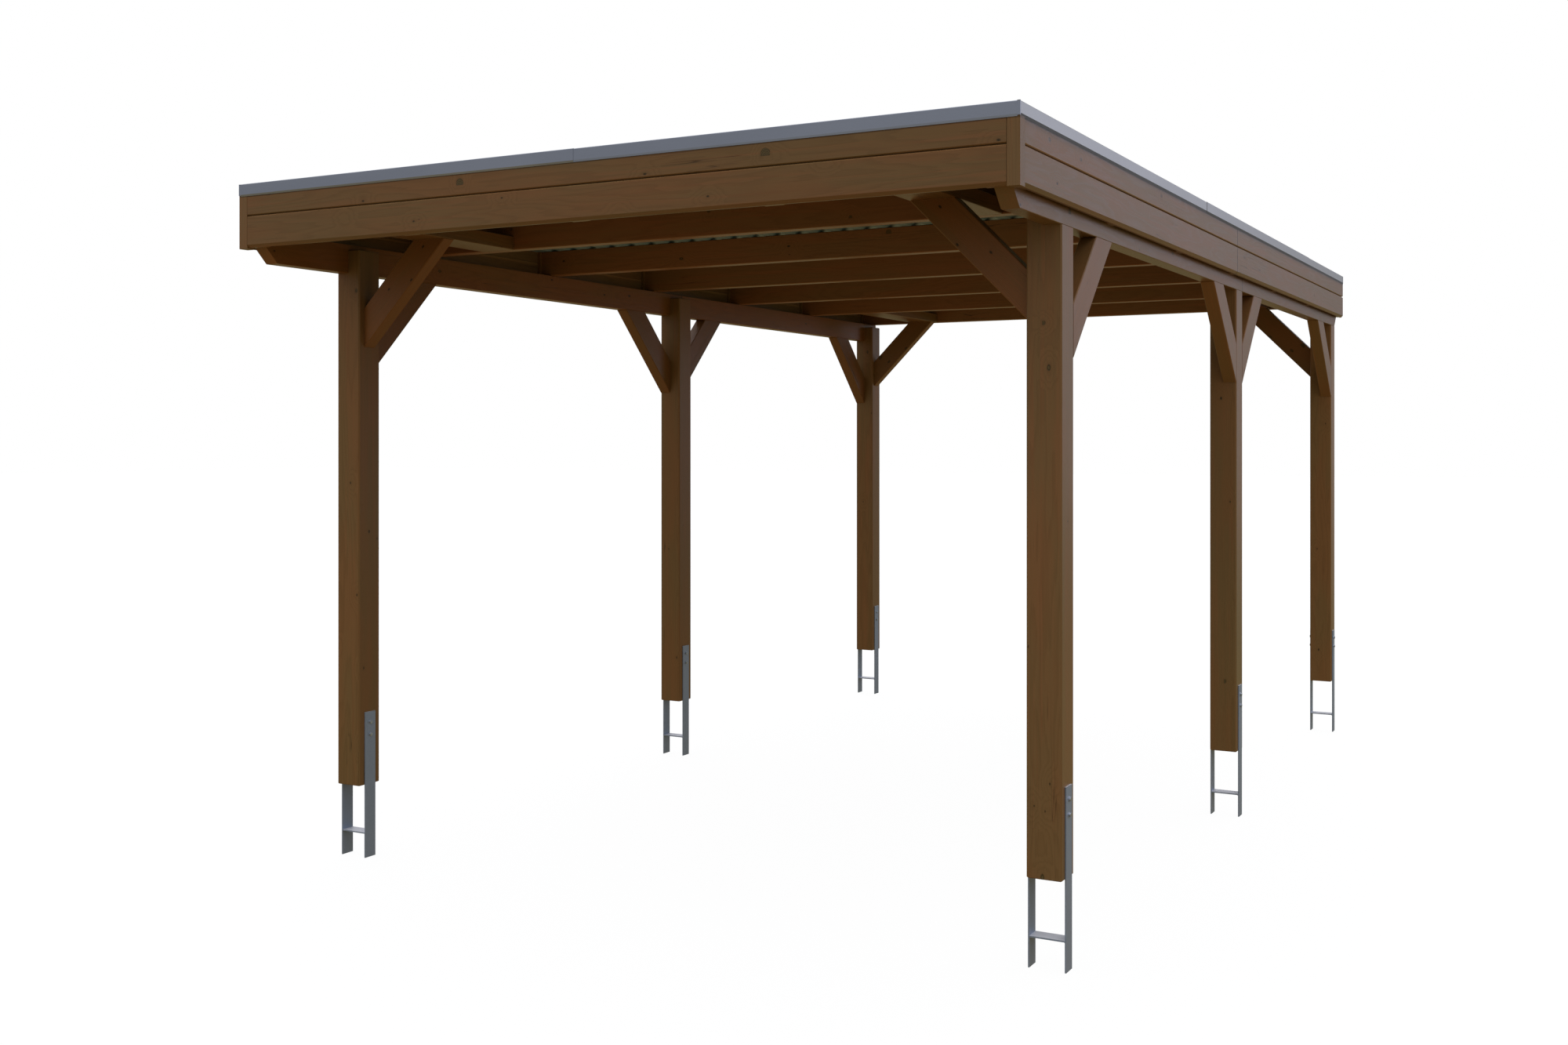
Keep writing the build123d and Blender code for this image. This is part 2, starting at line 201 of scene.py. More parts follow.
def addCamera(values):
    data = bpy.data.cameras.new("photoCamera")
    data.sensor_width = values["sensor"]
    data.lens = values["sensor"] * values["focalPixels"] / values["imageWidth"]
    data.shift_x = (values["imageWidth"] / 2 - values["axisColumn"]) / values["imageWidth"]
    data.shift_y = (values["horizonRow"] - values["imageHeight"] / 2) / values["imageWidth"]
    data.dof.use_dof = False
    eye = bpy.data.objects.new("photoCamera", data)
    eye.location = values["spot"]
    eye.rotation_euler = (math.radians(90), 0, math.radians(values["turnLeft"]))
    bpy.context.scene.collection.objects.link(eye)
    bpy.context.scene.camera = eye


def photoPoint(column, row, axis, level):  # where the line through a pixel meets a plane
    turn = math.radians(camera["turnLeft"])
    across = (column - camera["axisColumn"]) / camera["focalPixels"]
    up = (camera["horizonRow"] - row) / camera["focalPixels"]
    line = Vector((across * math.cos(turn) - math.sin(turn),
                   across * math.sin(turn) + math.cos(turn), up))
    spot = Vector(camera["spot"])
    return spot + line * ((level - spot[axis]) / line[axis])


addCamera(camera)
print("camera placed")


# Studio: pale floor, white backdrop and soft light from all sides
studio = {
    "floorSize": 160.0,
    "floorColour": (1.0, 1.0, 1.0, 1.0),
    "floorGlow": 0.96,           # a light table: keeps the shadows pale
    "floorRoughness": 0.9,
    "floorSpecular": 0.1,
    "backdrop": (1.0, 1.0, 1.0, 1.0),
    # light by height: -1 comes straight up, 0 is level, 1 comes straight down
    "light": [
        (-1.00, (0.32, 0.225, 0.10, 1.0)),
        (-0.40, (0.31, 0.220, 0.10, 1.0)),
        (-0.14, (0.25, 0.245, 0.115, 1.0)),
        (0.00, (0.27, 0.265, 0.22, 1.0)),
        (0.14, (0.36, 0.37, 0.42, 1.0)),
        (0.40, (0.60, 0.61, 0.67, 1.0)),
        (0.72, (1.15, 1.15, 1.20, 1.0)),
        (1.00, (1.40, 1.40, 1.46, 1.0)),
    ],
    "lamps": {
        "frontSoftBox": {"spot": (-3.0, -11.0, 3.2), "aim": (0.0, -1.0, 1.2), "size": 7.0,
                         "watts": 92.0, "colour": (1.0, 1.0, 1.0), "mirrored": False},
        "rightSoftBox": {"spot": (14.0, -2.0, 1.2), "aim": (0.0, 0.0, 1.0), "size": 6.0,
                         "watts": 190.0, "colour": (1.0, 0.90, 0.80), "mirrored": False},
        "backSoftBox": {"spot": (10.3, 15.75, 4.4), "aim": (1.6, 0.0, 1.8), "size": 8.0,
                        "watts": 180.0, "colour": (0.78, 0.79, 0.97), "mirrored": True},
    },
}


def addFloor(values):
    half = values["floorSize"] / 2
    mesh = bpy.data.meshes.new("floor")
    corners = [(-half, -half, 0), (half, -half, 0), (half, half, 0), (-half, half, 0)]
    mesh.from_pydata(corners, [], [(0, 1, 2, 3)])
    floor = bpy.data.objects.new("floor", mesh)
    bpy.context.scene.collection.objects.link(floor)
    glow = values["floorGlow"]
    mesh.materials.append(Finish("paleFloor").surface(
        Base_Color=[channel * (1 - glow) for channel in values["floorColour"][:3]] + [1.0],
        Roughness=values["floorRoughness"],
        Specular_IOR_Level=values["floorSpecular"],
        Emission_Color=values["floorColour"],
        Emission_Strength=glow,
    ))
    floor.visible_diffuse = False     # the light from below comes from the world alone
    floor.visible_glossy = False


def addWorld(values):  # white to the camera, softer as a source of light
    sky = Finish("softRoom", "worlds")
    height = sky.split(sky.node("ShaderNodeTexCoord", out="Generated"))[2]
    stops = [((level + 1) / 2, colour) for level, colour in values["light"]]
    glow = sky.node("ShaderNodeValToRGB", {"stops": stops}, {0: height * 0.5 + 0.5})
    light = sky.node("ShaderNodeBackground", values={0: glow})
    backdrop = sky.node("ShaderNodeBackground", values={0: values["backdrop"]})
    seen = sky.node("ShaderNodeLightPath", out="Is Camera Ray")
    choice = sky.node("ShaderNodeMixShader", values={0: seen, 1: light, 2: backdrop})
    sky.node("ShaderNodeOutputWorld", values={0: choice}, out=None)
    bpy.context.scene.world = sky.material


def addLamps(values):
    for name, lamp in values["lamps"].items():
        data = bpy.data.lights.new(name, "AREA")
        data.shape = "SQUARE"
        data.size = lamp["size"]
        data.energy = lamp["watts"]
        data.color = lamp["colour"]
        holder = bpy.data.objects.new(name, data)
        holder.location = lamp["spot"]
        holder.visible_camera = False
        holder.visible_glossy = lamp["mirrored"]
        towards = Vector(lamp["aim"]) - Vector(lamp["spot"])
        holder.rotation_euler = towards.to_track_quat("-Z", "Y").to_euler()
        bpy.context.scene.collection.objects.link(holder)


addFloor(studio)
addWorld(studio)
addLamps(studio)
bpy.context.scene.view_settings.view_transform = "Standard"
print("studio lit")


# Where the frame's members stand
def middle(node):
    low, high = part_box(node)
    return (low + high) / 2


def entryFor(name, table):  # the first entry of the table whose key starts the name
    return next((table[key] for key in table if name.startswith(key)), None)


def dress(name, material):
    mesh = nodes[name].data
    mesh.materials.clear()
    mesh.materials.append(material)


rowY = {row: middle("post_" + row + "_right").y for row in ("front", "middle", "rear")}
rowSpacing = rowY["middle"] - rowY["front"]
rafterY = [middle(name).y for name in sorted(nodes) if name.startswith("rafter_")]
rafterPitch = rafterY[1] - rafterY[0]
anchors = [(y, *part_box("anchor_" + row + "_" + side))
           for row, y in rowY.items() for side in ("left", "right")]


# Stained softwood; scales are waves per metre along the grain, across it and into the piece
timber = {
    "olive": tone(117, 89, 53),
    "warm": tone(123, 87, 51),
    "red": tone(130, 85, 51),
    "lateWood": tone(80, 57, 29),
    "speck": tone(46, 32, 18),
    "check": tone(44, 30, 17),
    "roughness": 0.36,
    "specular": 0.18,
    "shift": (20, 3, 3),         # most that a node's grain is moved, in metres
    "cellShift": (9.0, 1.3, 1.3),
    "fibreScale": (22.0, 1300.0, 1300.0),
    "fibreLight": 0.14,
    "fibreRoughness": 0.12,
    "streakScale": (1.3, 75.0, 75.0),
    "streakLight": 0.12,
    "redRange": (0.48, 0.72),    # where in the streaks the red starts and where it is full
    "redStrength": 0.45,
    "blotchScale": (1.7, 10.0, 10.0),
    "blotchRange": (0.36, 0.64),
    "darkScale": (0.8, 42.0, 42.0),
    "darkRange": (0.60, 0.80),
    "darkStrength": 0.15,
    "ringWidth": 0.0036,
    "ringRise": (0.35, 0.92),    # late wood, in shares of a ring
    "ringFall": (0.93, 1.0),
    "ringStrength": 0.16,
    "ringShine": 0.05,
    "ringDrift": 1.5,            # rings that the streaks move them by
    "wanderScale": (0.9, 7.0, 7.0),
    "wander": 0.05,              # metres that the pith wanders
    "checkScale": (0.9, 5.0, 5.0),
    "checkRange": (0.60, 0.68),
    "checkLine": 0.47,           # value of the dark lines' noise that a check follows
    "checkWidth": 0.010,
    "checkStrength": 0.6,
    "specksPerMetre": 11.0,
    "speckStretch": (0.45, 1.0, 1.0),
    "speckSize": 0.034,          # of the distance between specks
    "speckEdge": (-0.012, 0.010),
    "speckChance": (0.5, 0.7),
    "speckStrength": 0.7,
    "seamEdge": (0.0022, 0.0048),
    "seamStrength": 0.9,
    "bandFade": 0.0003,
    "bumpStrength": 0.25,
    "bumpDistance": 0.0008,
    "fibreHeight": 0.35,         # shares of the bump's distance
    "ringHeight": 0.4,
    "checkDepth": 1.5,
    "knotDepth": 0.6,
}

# How knots look, in metres
knotLook = {
    "wood": tone(94, 81, 47),
    "ring": tone(52, 40, 24),
    "halo": tone(98, 71, 40),
    "ringPitch": 0.0052,
    "ringRange": (0.3, 0.7),
    "ringStrength": 0.8,
    "stretch": 1.7,              # knots are longer along the grain
    "halfMoonFrom": 0.0065,      # knots above this radius are cut flat on one side
    "halfMoonCut": 0.45,         # place of that cut, as a share of the radius
    "deadUpTo": 0.0042,          # knots up to this radius are dark dots
    "deadSize": 0.7,             # size of the dot, as a share of the radius
    "deadEdge": (-0.0008, 0.0008),
    "deadStrength": 0.85,
    "ragged": 0.005,
    "raggedScale": (90.0, 90.0, 90.0),
    "raggedSmall": 0.4,          # share of it that small knots have
    "coreEdge": (-0.0012, 0.0008),
    "coreStrength": 0.9,
    "rimWidth": 0.0016,
    "rimStrength": 0.45,
    "haloWidth": 0.012,
    "haloStrength": 0.15,
    "bend": 0.010,               # how far the growth rings bend round a knot
    "bendWidth": 0.045,
    "hiddenRadii": (0.004, 0.006, 0.009),
    "hiddenAlong": (0.15, 0.85),  # shares of the room that each has
    "hiddenAcross": (0.1, 0.9),
}

# Knots that the photograph shows: face, pixel column and row, radius across the grain in mm
knotMarks = {
    "post_front_right": [
        ("front", 1330.6, 412, 7.0), ("front", 1337.8, 469, 6.0), ("front", 1329.5, 1119, 6.0),
        ("front", 1339.0, 1000, 2.2), ("front", 1319.0, 1028, 1.8), ("front", 1333.0, 1035, 1.8),
        ("right", 1362.0, 665, 2.5)],
    "post_front_left": [
        ("front", 454.0, 371, 8.0), ("front", 447.0, 616, 3.0), ("front", 455.2, 759, 3.0),
        ("front", 459.2, 955, 2.5), ("right", 470.8, 678, 4.0), ("right", 481.0, 687, 2.5),
        ("right", 464.0, 852, 3.0), ("right", 483.5, 611, 2.5)],
    "post_middle_left": [("front", 863.1, 838.7, 3.2), ("front", 853.0, 700, 2.0)],
    "post_middle_right": [
        ("front", 1562.0, 869, 8.0), ("front", 1557.5, 508, 4.0), ("front", 1569.0, 640, 2.5)],
    "post_rear_left": [("front", 1106.5, 449, 6.0), ("front", 1101.0, 640, 2.5)],
    "post_rear_right": [
        ("front", 1681.9, 828.7, 4.0), ("front", 1690.7, 540.4, 2.5), ("front", 1680.0, 700, 2.5)],
    "purlin_front_right": [
        ("right", 1364.4, 270.6, 12.0), ("right", 1301.2, 261.3, 4.0),
        ("right", 1495.8, 323.0, 6.0), ("right", 1453.6, 318.9, 3.0)],
    "purlin_front_left": [
        ("right", 561.0, 346, 6.0), ("right", 704.0, 357, 4.0), ("right", 771.0, 376, 4.0),
        ("right", 802.7, 377.5, 6.0), ("right", 350.0, 320, 3.0)],
    "purlin_rear_left": [("right", 1028.0, 413, 5.0)],
    "rafter_2": [
        ("front", 904.0, 270, 7.0), ("front", 1084.8, 277, 7.0), ("front", 652.0, 293, 7.0)],
    "rafter_3": [
        ("front", 1133.5, 296.3, 13.0), ("front", 1005.9, 314, 4.0), ("front", 869.0, 330, 6.0),
        ("front", 741.0, 314, 3.0), ("front", 719.0, 333, 4.0)],
    "rafter_7": [("front", 1180.0, 405, 4.0)],
    "front_board_upper": [
        ("front", 586.3, 233.5, 16.0), ("front", 976.0, 195.5, 17.0), ("front", 463.0, 256.5, 3.2),
        ("front", 822.4, 222.0, 3.5), ("front", 1273.7, 178.5, 3.5)],
    "front_board_lower": [
        ("front", 527.6, 282.3, 3.0), ("front", 902.8, 250.4, 3.0), ("front", 640.0, 252.5, 2.5)],
    "side_board_upper_right": [
        ("right", 1338.9, 178, 6.0), ("right", 1378.9, 203.9, 5.0), ("right", 1481.4, 250, 6.0)],
    "side_board_lower_right": [
        ("right", 1348.6, 234.2, 4.0), ("right", 1676.3, 376.9, 6.0)],
    "cross_braces_front": [
        ("front", 539.6, 314.5, 4.0), ("front", 524.5, 357, 3.5), ("front", 496.0, 369, 3.5)],
    "cross_braces_rear": [("front", 1155.5, 444.5, 6.0), ("front", 1647.7, 447.2, 6.0),
                          ("front", 1661.5, 441.0, 14.0)],
}


def zigzag(value, half):  # up from 0 to half and down again, over and over
    return abs((value - half) / (2 * half) % 1.0 * (2 * half) - half)


def grainAxes(x, y, z, lie):  # along the grain, across it, and into the piece
    straight = {"x": (x, z, y), "y": (y, z, x), "z": (z, x, y)}
    if lie in straight:
        return straight[lie]
    away = abs(x) if lie == "crossBrace" else zigzag(y - rowY["front"], rowSpacing / 2)
    slope = math.sqrt(0.5)
    if lie == "crossBrace":
        return (z - away) * slope, (z + away) * slope, y
    return (z + away) * slope, (z - away) * slope, x


def axisMiddle(name, lie):  # height or place of a straight piece across its grain
    centre = middle(name)
    return {"x": centre.z, "y": centre.z, "z": centre.x}.get(lie, 0.0)


def knotSpots(name, lie):  # the marked knots of a node, in grain axes
    sides = {"front": (1, 0), "right": (0, 1)}   # axis across the face, and the box's corner
    spots = []
    for face, column, row, radius in knotMarks.get(name, ()):
        axis, end = sides[face]
        point = photoPoint(column, row, axis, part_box(name)[end][axis])
        spots.append((*grainAxes(*point, lie), radius / 1000))
    return spots


def hiddenKnots(name, lie, seed, perMetre, values):  # on the faces that the photo hides
    low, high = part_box(name)
    draw = random.Random(seed)
    order = grainAxes(0, 1, 2, lie)
    length = high[order[0]] - low[order[0]]
    count = round(length * perMetre)
    spots = []
    for number in range(count):
        along = number + draw.uniform(*values["hiddenAlong"])
        spot = [low[order[0]] + length * along / count, 0.0, 0.0]
        for side in (1, 2):
            axis = order[side]
            share = draw.uniform(*values["hiddenAcross"])
            spot[side] = low[axis] + (high[axis] - low[axis]) * share
        hidden = draw.choice((1, 2))
        spot[hidden] = (low if order[hidden] == 0 else high)[order[hidden]]
        spots.append((*spot, draw.choice(values["hiddenRadii"])))
    return spots


def nearestKnot(finish, axes, knots, values):  # distances to rims, middles and dark dots
    along, across, deep = axes
    plain = finish.vector(along, across, deep)
    squeezed = finish.vector(along / values["stretch"], across, deep)
    ragged = (finish.noise(plain, values["raggedScale"]) - 0.5) * values["ragged"]
    rim = heart = dot = None
    for knotAlong, knotAcross, knotDeep, radius in knots:
        if radius > values["halfMoonFrom"]:
            flat = knotAcross - values["halfMoonCut"] * radius
            edge = finish.join("DISTANCE", plain, (knotAlong, knotAcross, knotDeep), "Value")
            edge = (edge - radius + ragged).most(flat - across)
            centre = finish.join("DISTANCE", plain, (knotAlong, flat, knotDeep), "Value")
        else:
            spot = (knotAlong / values["stretch"], knotAcross, knotDeep)
            centre = finish.join("DISTANCE", squeezed, spot, "Value")
            edge = centre - radius + ragged * values["raggedSmall"]
            if radius <= values["deadUpTo"]:
                dotEdge = centre - radius * values["deadSize"]
                dot = dotEdge if dot is None else dot.least(dotEdge)
        rim = edge if rim is None else rim.least(edge)
        heart = centre if heart is None else heart.least(centre)
    return rim, heart + ragged, dot


def knotLayers(finish, rim, heart, dot, values):
    ringed = (heart / values["ringPitch"] % 1.0).above(*values["ringRange"])
    wood = finish.mix(ringed * values["ringStrength"], values["wood"], values["ring"])
    layers = [
        (rim.below(0.0, values["haloWidth"]) * values["haloStrength"], values["halo"]),
        (rim.below(*values["coreEdge"]) * values["coreStrength"], wood),
        (abs(rim).below(0.0, values["rimWidth"]) * values["rimStrength"], timber["speck"]),
    ]
    if dot is not None:
        dark = dot.below(*values["deadEdge"]) * values["deadStrength"]
        layers.append((dark, timber["speck"]))
    return layers


def cellShift(finish, place, cell):  # another stretch of grain for each solid of a node
    x, y, _ = finish.split(place)
    (startX, sizeX), (startY, sizeY) = cell
    number = finish.vector(((x - startX) / sizeX).floor(), ((y - startY) / sizeY).floor(), 0.0)
    chance = finish.node("ShaderNodeTexWhiteNoise", values={"Vector": number}, out="Color")
    return finish.join("MULTIPLY", chance, timber["cellShift"])


def specks(finish, grain, values):  # each cell has its own size of speck, most have none
    stretched = finish.join("MULTIPLY", grain, values["speckStretch"])
    nearest = finish.node("ShaderNodeTexVoronoi", values={
        "Vector": stretched, "Scale": values["specksPerMetre"]})
    chance = finish.split(nearest.output("Color"))[0]
    edge = nearest - chance * values["speckSize"]
    return edge.below(*values["speckEdge"]) * chance.above(*values["speckChance"])


def stainedWood(name, seed, lie, knots=0, cell=None, pith=(0.05, 0.09), seam=None, tint=None,
                bands=()):
    values = timber
    finish = Finish(name)
    place = finish.place()
    axes = grainAxes(*finish.split(place), lie)
    line = finish.vector(*axes)
    draw = random.Random(seed)
    grain = finish.join("ADD", line, [draw.uniform(-most, most) for most in values["shift"]])
    if cell:
        grain = finish.join("ADD", grain, cellShift(finish, place, cell))
    fibre = finish.noise(grain, values["fibreScale"], detail=1.0)
    streak = finish.noise(grain, values["streakScale"], detail=3.0, roughness=0.6)
    blotch = finish.noise(grain, values["blotchScale"])
    darkLine = finish.noise(grain, values["darkScale"])
    # growth rings round a pith that wanders, bent round the knots
    heart = (0.0, axisMiddle(name, lie) + pith[0], pith[1])
    across = finish.join("MULTIPLY", line, (0.0, 1.0, 1.0))
    wander = (finish.noise(grain, values["wanderScale"]) - 0.5) * values["wander"]
    radius = finish.join("DISTANCE", across, heart, "Value") + wander
    spots = knotSpots(name, lie)
    if knots:
        spots += hiddenKnots(name, lie, seed, knots, knotLook)
    if spots:
        rim, middles, dot = nearestKnot(finish, axes, spots, knotLook)
        radius = radius + knotLook["bend"] * rim.below(0.0, knotLook["bendWidth"])
    year = (radius / values["ringWidth"] + streak * values["ringDrift"]) % 1.0
    late = year.above(*values["ringRise"]) * year.below(*values["ringFall"])
    # fine drying checks, here and there
    patch = finish.noise(grain, values["checkScale"], detail=1.0)
    check = abs(darkLine - values["checkLine"]).below(0.0, values["checkWidth"])
    check = check * patch.above(*values["checkRange"])
    colour = finish.mix(blotch.above(*values["blotchRange"]), values["olive"], values["warm"])
    colour = finish.layers(colour, [
        (streak.above(*values["redRange"]) * values["redStrength"], values["red"]),
        (late * values["ringStrength"], values["lateWood"]),
        (darkLine.above(*values["darkRange"]) * values["darkStrength"], values["lateWood"]),
        (check * values["checkStrength"], values["check"]),
        (specks(finish, grain, values) * values["speckStrength"], values["speck"]),
    ])
    height = fibre * values["fibreHeight"] + late * values["ringHeight"]
    height = height - check * values["checkDepth"]
    if spots:
        colour = finish.layers(colour, knotLayers(finish, rim, middles, dot, knotLook))
        height = height - rim.below(*knotLook["coreEdge"]) * values["knotDepth"]
    _, y, z = finish.split(place)
    if seam is not None:
        gap = abs(y - seam).below(*values["seamEdge"])
        colour = finish.mix(gap * values["seamStrength"], colour, values["check"])
    bright = (fibre - 0.5) * values["fibreLight"] + (streak - 0.5) * values["streakLight"] + 1.0
    # painted light and painted shade in strips by height
    for low, high, gain, soft in bands:
        band = z.above(low - soft, low) * z.below(high, high + values["bandFade"])
        bright = bright + band * gain
    colour = finish.shade(colour, bright)
    # the tint multiplies in the piece's own stain tone together with painted light and shade
    if tint:
        colour = finish.mix(1.0, colour, (*tint, 1.0), "MULTIPLY")
    roughness = values["roughness"] + (fibre - 0.5) * values["fibreRoughness"]
    return finish.surface(
        Base_Color=colour,
        Roughness=roughness - late * values["ringShine"],
        Specular_IOR_Level=values["specular"],
        Normal=finish.bump(height, values["bumpStrength"], values["bumpDistance"]),
    )


def cutAt(place):  # start and size of cells so large that they part at this place alone
    return (place, 9.0)


# Painted light and painted shade in strips along the boards: height from and to, extra light
# (painted shade where it is below zero), fade below the lower edge
# painted highlight along the lower board's top bevel, below the groove
bevelHighlight = (2.5850, 2.5881, 0.35, 0.0003)
# painted light in the groove between the boards
grooveLight = (2.5884, 2.5960, 0.40, 0.0003)
trimShadowLine = (2.6630, 2.6800, -0.42, 0.0012)   # painted shadow line right under the trim
# painted soft shadow below the trim, fading downwards
trimShade = (2.6640, 2.6800, -0.30, 0.0200)

# How each timber lies, its hidden knots per metre, the cells in x and y that hold its single
# pieces, the y where its lengths meet, its tint (the piece's own stain tone together with painted
# light and shade: warmer inside the roof, bluer sheen on the sides), and where the pith is:
# across the grain from the middle of the piece, and deep
boardSeamY = 0.012
battenSpacing = 0.757
firstSeed = 101
post = {"lie": "z", "knots": 1.2}
purlin = {"lie": "y", "knots": 1.5, "seam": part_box("purlin_front_right")[1].y}
rafter = {"lie": "x", "knots": 1.5}
sideBrace = {"lie": "sideBrace", "cell": (cutAt(0.0), (rowY["front"], rowSpacing / 2))}
board = {"knots": 1.0, "pith": (0.02, 0.16)}
pieces = {
    "post_front_right": {**post, "tint": (1.00, 1.02, 1.13)},
    "post_front_left": {**post, "tint": (0.94, 0.96, 1.00)},
    "post_middle_right": {**post, "tint": (0.96, 1.03, 1.10)},
    "post_rear_right": {**post, "tint": (1.10, 1.12, 1.16)},
    "post_": {**post, "tint": (0.98, 1.00, 1.03)},
    "purlin_front_left": {**purlin, "tint": (0.98, 0.80, 0.63)},
    "purlin_rear_left": {**purlin, "tint": (0.98, 0.79, 0.61)},
    "purlin_": {**purlin, "tint": (0.91, 0.94, 1.04)},
    "rafter_2": {**rafter, "tint": (1.10, 0.87, 0.90)},
    "rafter_7": {**rafter, "tint": (1.20, 0.98, 1.10)},
    "rafter_": {**rafter, "tint": (1.11, 0.93, 1.00)},
    "trimmers_": {"lie": "y", "cell": (cutAt(0.0), cutAt(0.0)), "tint": (0.82, 0.82, 0.88)},
    "side_braces_left": {**sideBrace, "tint": (0.90, 0.79, 0.78)},
    "side_braces_": {**sideBrace, "tint": (0.99, 0.96, 0.94)},
    "cross_braces_": {"lie": "crossBrace", "cell": (cutAt(0.0), cutAt(0.0)),
                      "tint": (0.91, 0.78, 0.67)},
    "front_battens": {"lie": "z", "cell": ((-battenSpacing / 2, battenSpacing), cutAt(0.0))},
    "side_battens": {"lie": "z", "cell": (cutAt(0.0),
                                          (rafterY[0] - rafterPitch / 2, rafterPitch))},
    "corner_pieces": {"lie": "z", "cell": (cutAt(0.0), cutAt(0.0)), "tint": (0.93, 0.97, 1.08),
                      "bands": (trimShadowLine,)},
    "front_board_": {**board, "lie": "x", "tint": (0.85, 0.88, 0.95),
                     "bands": (bevelHighlight, trimShadowLine)},
    "side_board_": {**board, "lie": "y", "seam": boardSeamY, "tint": (0.95, 1.02, 1.30),
                    "cell": (cutAt(0.0), cutAt(boardSeamY)),
                    "bands": (bevelHighlight, grooveLight, trimShadowLine, trimShade)},
}
for seed, name in enumerate(sorted(nodes), firstSeed):
    piece = entryFor(name, pieces)
    if piece is not None:
        dress(name, stainedWood(name, seed, **piece))
print("timber stained")


# Metal finishes: two tones that mingle, and their shine
metals = {
    "greyTrim": {"tones": (tone(140, 147, 161), tone(136, 143, 157))},
    # a copy of the trim paint for the side faces, tuned to how light falls there: painted light
    # and shade
    "greyTrimSidesSheenCopy": {"tones": (tone(115, 118, 117), tone(111, 114, 113)),
                      "coat": 1.0, "roughness": 0.285},
    # the front lip's copy of the paint, made lighter against its shade: painted light
    "frontTrimLipPaintedLight": {"tones": (tone(138, 138, 138), tone(132, 132, 132))},
    # the side lip's copy of the paint, dark and dull: painted shade on the bend that looks down
    "sideTrimLipPaintedShade": {"tones": (tone(64, 66, 68), tone(60, 62, 64)),
                    "metallic": 0.1, "coat": 0.0, "roughness": 0.55},
    "hotDipZinc": {"tones": (tone(141, 154, 176), tone(129, 142, 163)),
                   "metallic": 0.35, "roughness": 0.40},
    "brightZinc": {"tones": (tone(176, 184, 196), tone(160, 170, 182)),
                   "metallic": 0.75, "roughness": 0.28},
    "roofSheet": {"tones": (tone(138, 168, 185), tone(124, 152, 168)),
                  "metallic": 0.15, "roughness": 0.42},
}

# Their patterns; scales are waves per metre in x, y and z
metalLook = {
    "trimScale": (2.0, 2.0, 9.0),
    "trimRange": (0.35, 0.65),
    "trimRoughness": 0.02,
    "coatRoughness": 0.28,
    "zincScale": (16.0, 16.0, 16.0),
    "zincCloud": 0.5,
    "zincBump": (0.08, 0.0005),   # strength and distance
    "flakesPerMetre": 170.0,
    "flake": 0.4,
    "flakeRoughness": 0.08,
    "zincTop": tone(222, 223, 228),   # painted highlight: faces that look up are made paler
    "upward": (0.3, 0.9),
    "sheetScale": (4.0, 1.0, 4.0),
    "sheetRange": (0.3, 0.7),
    "sheetCloud": 0.6,
    "fineScale": (300.0, 300.0, 300.0),
    "fineRoughness": 0.1,
    "fineBump": (0.05, 0.0003),
}


def trimFinish(name, tones, metallic=0.55, coat=0.4, roughness=0.30):
    values = metalLook
    finish = Finish(name)
    cloud = finish.noise(finish.place(), values["trimScale"], detail=3.0)
    return finish.surface(
        Base_Color=finish.mix(cloud.above(*values["trimRange"]), *tones),
        Metallic=metallic,
        Coat_Weight=coat,
        Coat_Roughness=values["coatRoughness"],
        Roughness=roughness + (cloud - 0.5) * values["trimRoughness"],
    )


def zincFinish(name, tones, metallic, roughness):
    values = metalLook
    finish = Finish(name)
    place = finish.place()
    spangle = finish.node("ShaderNodeTexVoronoi", out="Color", values={
        "Vector": place, "Scale": values["flakesPerMetre"]})
    flake = finish.split(spangle)[0]
    cloud = finish.noise(place, values["zincScale"], detail=3.0)
    mask = flake * values["flake"] + cloud * values["zincCloud"]
    upward = finish.split(finish.node("ShaderNodeNewGeometry", out="Normal"))[2]
    return finish.surface(
        # faces that look up get a painted highlight
        Base_Color=finish.layers(tones[1], [
            (mask, tones[0]), (upward.above(*values["upward"]), values["zincTop"])]),
        Metallic=metallic,
        Roughness=roughness + flake * values["flakeRoughness"],
        Normal=finish.bump(cloud, *values["zincBump"]),
    )


def sheetFinish(name, tones, metallic, roughness):
    values = metalLook
    finish = Finish(name)
    place = finish.place()
    cloud = finish.noise(place, values["sheetScale"], detail=3.0)
    fine = finish.noise(place, values["fineScale"], detail=1.0)
    mask = cloud.above(*values["sheetRange"]) * values["sheetCloud"]
    return finish.surface(
        Base_Color=finish.mix(mask, *tones),
        Metallic=metallic,
        Roughness=roughness + (fine - 0.5) * values["fineRoughness"],
        Normal=finish.bump(fine, *values["fineBump"]),
    )


frontMetal, sideTrimSheenCopy, frontLipPaintedLight, sideLipPaintedShade = [
    trimFinish(name, **metals[name])
    for name in ("greyTrim", "greyTrimSidesSheenCopy", "frontTrimLipPaintedLight", "sideTrimLipPaintedShade")]
zinc = zincFinish("hotDipZinc", **metals["hotDipZinc"])
brightZinc = zincFinish("brightZinc", **metals["brightZinc"])
sheetMetal = sheetFinish("roofSheet", **metals["roofSheet"])
metalNodes = {"anchor_bolts": brightZinc, "anchor_": zinc, "roof_sheet_": sheetMetal,
              "front_trim": frontMetal, "side_trim_": sideTrimSheenCopy}
for name in sorted(nodes):
    material = entryFor(name, metalNodes)
    if material is not None:
        dress(name, material)
print("metal finished")


